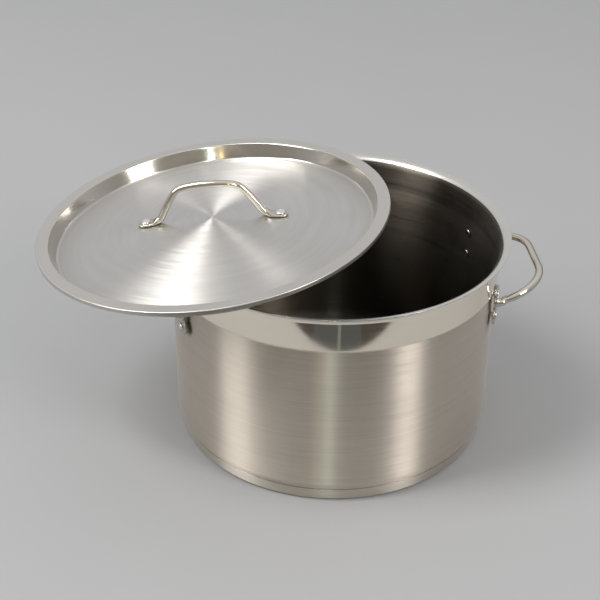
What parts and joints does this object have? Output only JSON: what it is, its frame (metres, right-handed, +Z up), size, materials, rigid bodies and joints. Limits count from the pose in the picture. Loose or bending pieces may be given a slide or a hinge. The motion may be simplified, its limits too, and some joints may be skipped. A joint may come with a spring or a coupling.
{
  "type": "stock pot",
  "caption": "Wide commercial stock pot in stainless steel with riveted loop handles, an encapsulated base and a recessed lid resting askew on its rim.",
  "frame": {"origin": "centre of the base's underside, on the surface that the pot stands on", "axes": "+Z up along the pot's axis; +X towards the right side handle, with the side handles on the X axis; +Y to the back"},
  "size_m": [0.5581, 0.3958, 0.2993],
  "materials": {
    "pot_steel": "brushed round the wall, with a mirror-polished band below the rim and a satin inside",
    "base_steel": "fine brushed",
    "base_aluminium": "rolled, dull",
    "lid_steel": "spun brushing round the lid's axis, satin flange and semi-bright recess wall",
    "polished_rod": "polished round rod with faint drawing lines",
    "plate_steel": "tumbled, semi-bright pressed plate",
    "rivet_metal": "satin domed heads"
  },
  "bodies": {
    "pot": {"pot_body": "pot_steel", "base_core_disc": "base_aluminium", "base_cap": "base_steel", "right_handle_rod": "polished_rod", "left_handle_rod": "polished_rod", "right_front_plate": "plate_steel", "right_rear_plate": "plate_steel", "left_front_plate": "plate_steel", "left_rear_plate": "plate_steel", "right_front_upper_rivet": "rivet_metal", "right_front_lower_rivet": "rivet_metal", "right_rear_upper_rivet": "rivet_metal", "right_rear_lower_rivet": "rivet_metal", "left_front_upper_rivet": "rivet_metal", "left_front_lower_rivet": "rivet_metal", "left_rear_upper_rivet": "rivet_metal", "left_rear_lower_rivet": "rivet_metal"},
    "lid": {"lid_shell": "lid_steel", "lid_handle": "polished_rod", "lid_left_rivet": "rivet_metal", "lid_right_rivet": "rivet_metal"}
  },
  "joints": [
    {"name": "lid_lift", "type": "slide", "parent": "pot", "child": "lid", "axis": [0, 0, 1], "range_m": [0, 0.25]}
  ]
}
